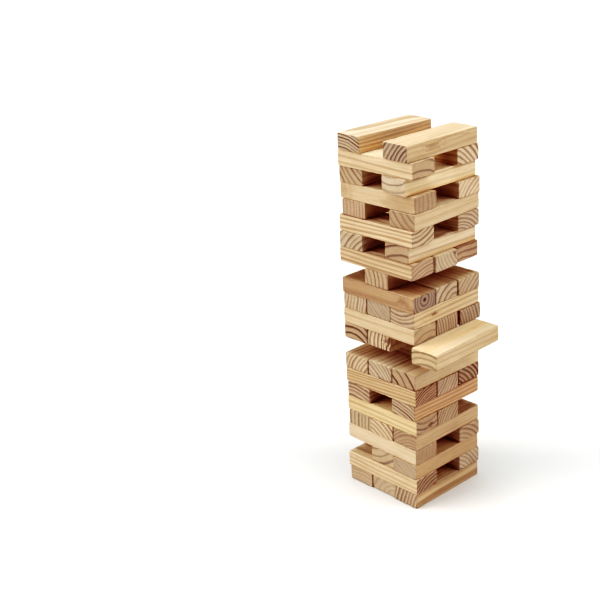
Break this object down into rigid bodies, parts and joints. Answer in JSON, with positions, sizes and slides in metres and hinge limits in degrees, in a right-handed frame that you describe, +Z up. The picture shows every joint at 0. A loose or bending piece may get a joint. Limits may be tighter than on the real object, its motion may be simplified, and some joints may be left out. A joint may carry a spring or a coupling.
{
  "type": "tumbling tower block game",
  "caption": "Tower of loose pine blocks in crossing layers, caught in mid-game with slots left empty, blocks added on top and one block drawn out sideways.",
  "frame": {"origin": "on the table at the centre of the tower's square footprint, on the underside of the bottom middle block", "axes": "+Z up through the tower; the odd layers' blocks run along Y and the even layers' along X; the half-drawn block stands out towards +X"},
  "size_m": [0.1009, 0.08, 0.2943],
  "materials": {
    "pine_pale": "planed and sanded, unvarnished",
    "pine_tan": "planed and sanded, unvarnished",
    "pine_warm": "planed and sanded, unvarnished"
  },
  "bodies": {
    "layer_01_left_block": {"layer_01_left_block": "pine_tan"},
    "layer_01_middle_block": {"layer_01_middle_block": "pine_pale"},
    "layer_01_right_block": {"layer_01_right_block": "pine_tan"},
    "layer_02_front_block": {"layer_02_front_block": "pine_tan"},
    "layer_02_back_block": {"layer_02_back_block": "pine_pale"},
    "layer_03_middle_block": {"layer_03_middle_block": "pine_pale"},
    "layer_03_right_block": {"layer_03_right_block": "pine_tan"},
    "layer_04_front_block": {"layer_04_front_block": "pine_pale"},
    "layer_04_back_block": {"layer_04_back_block": "pine_tan"},
    "layer_05_left_block": {"layer_05_left_block": "pine_pale"},
    "layer_05_middle_block": {"layer_05_middle_block": "pine_tan"},
    "layer_05_right_block": {"layer_05_right_block": "pine_pale"},
    "layer_06_front_block": {"layer_06_front_block": "pine_pale"},
    "layer_06_middle_block": {"layer_06_middle_block": "pine_tan"},
    "layer_07_left_block": {"layer_07_left_block": "pine_tan"},
    "layer_07_right_block": {"layer_07_right_block": "pine_tan"},
    "layer_08_front_block": {"layer_08_front_block": "pine_tan"},
    "layer_08_middle_block": {"layer_08_middle_block": "pine_pale"},
    "layer_08_back_block": {"layer_08_back_block": "pine_tan"},
    "layer_09_left_block": {"layer_09_left_block": "pine_tan"},
    "layer_09_middle_block": {"layer_09_middle_block": "pine_pale"},
    "layer_09_right_block": {"layer_09_right_block": "pine_pale"},
    "layer_10_middle_block": {"layer_10_middle_block": "pine_tan"},
    "layer_10_back_block": {"layer_10_back_block": "pine_pale"},
    "layer_11_left_block": {"layer_11_left_block": "pine_pale"},
    "layer_11_middle_block": {"layer_11_middle_block": "pine_tan"},
    "layer_11_right_block": {"layer_11_right_block": "pine_pale"},
    "layer_12_front_block": {"layer_12_front_block": "pine_pale"},
    "layer_12_middle_block": {"layer_12_middle_block": "pine_tan"},
    "layer_12_back_block": {"layer_12_back_block": "pine_warm"},
    "layer_13_left_block": {"layer_13_left_block": "pine_tan"},
    "layer_13_middle_block": {"layer_13_middle_block": "pine_pale"},
    "layer_13_right_block": {"layer_13_right_block": "pine_tan"},
    "layer_14_front_block": {"layer_14_front_block": "pine_warm"},
    "layer_14_middle_block": {"layer_14_middle_block": "pine_pale"},
    "layer_14_back_block": {"layer_14_back_block": "pine_tan"},
    "layer_15_middle_block": {"layer_15_middle_block": "pine_tan"},
    "layer_16_front_block": {"layer_16_front_block": "pine_tan"},
    "layer_16_middle_block": {"layer_16_middle_block": "pine_pale"},
    "layer_16_back_block": {"layer_16_back_block": "pine_warm"},
    "layer_17_left_block": {"layer_17_left_block": "pine_pale"},
    "layer_17_right_block": {"layer_17_right_block": "pine_pale"},
    "layer_18_front_block": {"layer_18_front_block": "pine_tan"},
    "layer_18_back_block": {"layer_18_back_block": "pine_tan"},
    "layer_19_left_block": {"layer_19_left_block": "pine_tan"},
    "layer_19_right_block": {"layer_19_right_block": "pine_pale"},
    "layer_20_front_block": {"layer_20_front_block": "pine_pale"},
    "layer_20_back_block": {"layer_20_back_block": "pine_tan"},
    "layer_21_left_block": {"layer_21_left_block": "pine_tan"},
    "layer_21_right_block": {"layer_21_right_block": "pine_pale"},
    "layer_22_front_block": {"layer_22_front_block": "pine_tan"},
    "layer_22_back_block": {"layer_22_back_block": "pine_tan"},
    "layer_23_left_block": {"layer_23_left_block": "pine_pale"},
    "layer_23_right_block": {"layer_23_right_block": "pine_tan"}
  },
  "joints": [
    {"name": "layer_01_left_block_push", "type": "slide", "parent": "layer_01_middle_block", "child": "layer_01_left_block", "axis": [0, 1, 0], "range_m": [-0.076, 0.076]},
    {"name": "layer_01_right_block_push", "type": "slide", "parent": "layer_01_middle_block", "child": "layer_01_right_block", "axis": [0, 1, 0], "range_m": [-0.076, 0.076]},
    {"name": "layer_02_front_block_push", "type": "slide", "parent": "layer_01_middle_block", "child": "layer_02_front_block", "axis": [1, 0, 0], "range_m": [-0.076, 0.076]},
    {"name": "layer_02_back_block_push", "type": "slide", "parent": "layer_01_middle_block", "child": "layer_02_back_block", "axis": [1, 0, 0], "range_m": [-0.076, 0.076]},
    {"name": "layer_03_middle_block_push", "type": "slide", "parent": "layer_01_middle_block", "child": "layer_03_middle_block", "axis": [0, 1, 0], "range_m": [-0.076, 0.076]},
    {"name": "layer_03_right_block_push", "type": "slide", "parent": "layer_01_middle_block", "child": "layer_03_right_block", "axis": [0, 1, 0], "range_m": [-0.076, 0.076]},
    {"name": "layer_04_front_block_push", "type": "slide", "parent": "layer_01_middle_block", "child": "layer_04_front_block", "axis": [1, 0, 0], "range_m": [-0.076, 0.076]},
    {"name": "layer_04_back_block_push", "type": "slide", "parent": "layer_01_middle_block", "child": "layer_04_back_block", "axis": [1, 0, 0], "range_m": [-0.076, 0.076]},
    {"name": "layer_05_left_block_push", "type": "slide", "parent": "layer_01_middle_block", "child": "layer_05_left_block", "axis": [0, 1, 0], "range_m": [-0.076, 0.076]},
    {"name": "layer_05_middle_block_push", "type": "slide", "parent": "layer_01_middle_block", "child": "layer_05_middle_block", "axis": [0, 1, 0], "range_m": [-0.076, 0.076]},
    {"name": "layer_05_right_block_push", "type": "slide", "parent": "layer_01_middle_block", "child": "layer_05_right_block", "axis": [0, 1, 0], "range_m": [-0.076, 0.076]},
    {"name": "layer_06_front_block_push", "type": "slide", "parent": "layer_01_middle_block", "child": "layer_06_front_block", "axis": [1, 0, 0], "range_m": [-0.076, 0.076]},
    {"name": "layer_06_middle_block_push", "type": "slide", "parent": "layer_01_middle_block", "child": "layer_06_middle_block", "axis": [1, 0, 0], "range_m": [-0.076, 0.076]},
    {"name": "layer_07_left_block_push", "type": "slide", "parent": "layer_01_middle_block", "child": "layer_07_left_block", "axis": [0, 1, 0], "range_m": [-0.076, 0.076]},
    {"name": "layer_07_right_block_push", "type": "slide", "parent": "layer_01_middle_block", "child": "layer_07_right_block", "axis": [0, 1, 0], "range_m": [-0.076, 0.076]},
    {"name": "layer_08_front_block_push", "type": "slide", "parent": "layer_01_middle_block", "child": "layer_08_front_block", "axis": [1, 0, 0], "range_m": [-0.076, 0.076]},
    {"name": "layer_08_middle_block_push", "type": "slide", "parent": "layer_01_middle_block", "child": "layer_08_middle_block", "axis": [1, 0, 0], "range_m": [-0.076, 0.076]},
    {"name": "layer_08_back_block_push", "type": "slide", "parent": "layer_01_middle_block", "child": "layer_08_back_block", "axis": [1, 0, 0], "range_m": [-0.076, 0.076]},
    {"name": "layer_09_left_block_push", "type": "slide", "parent": "layer_01_middle_block", "child": "layer_09_left_block", "axis": [0, 1, 0], "range_m": [-0.076, 0.076]},
    {"name": "layer_09_middle_block_push", "type": "slide", "parent": "layer_01_middle_block", "child": "layer_09_middle_block", "axis": [0, 1, 0], "range_m": [-0.076, 0.076]},
    {"name": "layer_09_right_block_push", "type": "slide", "parent": "layer_01_middle_block", "child": "layer_09_right_block", "axis": [0, 1, 0], "range_m": [-0.076, 0.076]},
    {"name": "layer_10_middle_block_push", "type": "slide", "parent": "layer_01_middle_block", "child": "layer_10_middle_block", "axis": [1, 0, 0], "range_m": [-0.076, 0.076]},
    {"name": "layer_10_back_block_push", "type": "slide", "parent": "layer_01_middle_block", "child": "layer_10_back_block", "axis": [1, 0, 0], "range_m": [-0.076, 0.076]},
    {"name": "layer_11_left_block_push", "type": "slide", "parent": "layer_01_middle_block", "child": "layer_11_left_block", "axis": [0, 1, 0], "range_m": [-0.076, 0.076]},
    {"name": "layer_11_middle_block_push", "type": "slide", "parent": "layer_01_middle_block", "child": "layer_11_middle_block", "axis": [0, 1, 0], "range_m": [-0.076, 0.076]},
    {"name": "layer_11_right_block_draw", "type": "slide", "parent": "layer_01_middle_block", "child": "layer_11_right_block", "axis": [1, 0, 0], "range_m": [-0.022, 0.06]},
    {"name": "layer_12_front_block_push", "type": "slide", "parent": "layer_01_middle_block", "child": "layer_12_front_block", "axis": [1, 0, 0], "range_m": [-0.076, 0.076]},
    {"name": "layer_12_middle_block_push", "type": "slide", "parent": "layer_01_middle_block", "child": "layer_12_middle_block", "axis": [1, 0, 0], "range_m": [-0.076, 0.076]},
    {"name": "layer_12_back_block_push", "type": "slide", "parent": "layer_01_middle_block", "child": "layer_12_back_block", "axis": [1, 0, 0], "range_m": [-0.076, 0.076]},
    {"name": "layer_13_left_block_push", "type": "slide", "parent": "layer_01_middle_block", "child": "layer_13_left_block", "axis": [0, 1, 0], "range_m": [-0.076, 0.076]},
    {"name": "layer_13_middle_block_push", "type": "slide", "parent": "layer_01_middle_block", "child": "layer_13_middle_block", "axis": [0, 1, 0], "range_m": [-0.076, 0.076]},
    {"name": "layer_13_right_block_push", "type": "slide", "parent": "layer_01_middle_block", "child": "layer_13_right_block", "axis": [0, 1, 0], "range_m": [-0.076, 0.076]},
    {"name": "layer_14_front_block_push", "type": "slide", "parent": "layer_01_middle_block", "child": "layer_14_front_block", "axis": [1, 0, 0], "range_m": [-0.076, 0.076]},
    {"name": "layer_14_middle_block_push", "type": "slide", "parent": "layer_01_middle_block", "child": "layer_14_middle_block", "axis": [1, 0, 0], "range_m": [-0.076, 0.076]},
    {"name": "layer_14_back_block_push", "type": "slide", "parent": "layer_01_middle_block", "child": "layer_14_back_block", "axis": [1, 0, 0], "range_m": [-0.076, 0.076]},
    {"name": "layer_15_middle_block_push", "type": "slide", "parent": "layer_01_middle_block", "child": "layer_15_middle_block", "axis": [0, 1, 0], "range_m": [-0.076, 0.076]},
    {"name": "layer_16_front_block_push", "type": "slide", "parent": "layer_01_middle_block", "child": "layer_16_front_block", "axis": [1, 0, 0], "range_m": [-0.076, 0.076]},
    {"name": "layer_16_middle_block_push", "type": "slide", "parent": "layer_01_middle_block", "child": "layer_16_middle_block", "axis": [1, 0, 0], "range_m": [-0.076, 0.076]},
    {"name": "layer_16_back_block_push", "type": "slide", "parent": "layer_01_middle_block", "child": "layer_16_back_block", "axis": [1, 0, 0], "range_m": [-0.076, 0.076]},
    {"name": "layer_17_left_block_push", "type": "slide", "parent": "layer_01_middle_block", "child": "layer_17_left_block", "axis": [0, 1, 0], "range_m": [-0.076, 0.076]},
    {"name": "layer_17_right_block_push", "type": "slide", "parent": "layer_01_middle_block", "child": "layer_17_right_block", "axis": [0, 1, 0], "range_m": [-0.076, 0.076]},
    {"name": "layer_18_front_block_push", "type": "slide", "parent": "layer_01_middle_block", "child": "layer_18_front_block", "axis": [1, 0, 0], "range_m": [-0.076, 0.076]},
    {"name": "layer_18_back_block_push", "type": "slide", "parent": "layer_01_middle_block", "child": "layer_18_back_block", "axis": [1, 0, 0], "range_m": [-0.076, 0.076]},
    {"name": "layer_19_left_block_push", "type": "slide", "parent": "layer_01_middle_block", "child": "layer_19_left_block", "axis": [0, 1, 0], "range_m": [-0.076, 0.076]},
    {"name": "layer_19_right_block_push", "type": "slide", "parent": "layer_01_middle_block", "child": "layer_19_right_block", "axis": [0, 1, 0], "range_m": [-0.076, 0.076]},
    {"name": "layer_20_front_block_push", "type": "slide", "parent": "layer_01_middle_block", "child": "layer_20_front_block", "axis": [1, 0, 0], "range_m": [-0.076, 0.076]},
    {"name": "layer_20_back_block_push", "type": "slide", "parent": "layer_01_middle_block", "child": "layer_20_back_block", "axis": [1, 0, 0], "range_m": [-0.076, 0.076]},
    {"name": "layer_21_left_block_push", "type": "slide", "parent": "layer_01_middle_block", "child": "layer_21_left_block", "axis": [0, 1, 0], "range_m": [-0.076, 0.076]},
    {"name": "layer_21_right_block_push", "type": "slide", "parent": "layer_01_middle_block", "child": "layer_21_right_block", "axis": [0, 1, 0], "range_m": [-0.076, 0.076]},
    {"name": "layer_22_front_block_push", "type": "slide", "parent": "layer_01_middle_block", "child": "layer_22_front_block", "axis": [1, 0, 0], "range_m": [-0.076, 0.076]},
    {"name": "layer_22_back_block_push", "type": "slide", "parent": "layer_01_middle_block", "child": "layer_22_back_block", "axis": [1, 0, 0], "range_m": [-0.076, 0.076]},
    {"name": "layer_23_left_block_lift", "type": "slide", "parent": "layer_01_middle_block", "child": "layer_23_left_block", "axis": [0, 0, 1], "range_m": [0, 0.05]},
    {"name": "layer_23_right_block_lift", "type": "slide", "parent": "layer_01_middle_block", "child": "layer_23_right_block", "axis": [0, 0, 1], "range_m": [0, 0.05]}
  ]
}
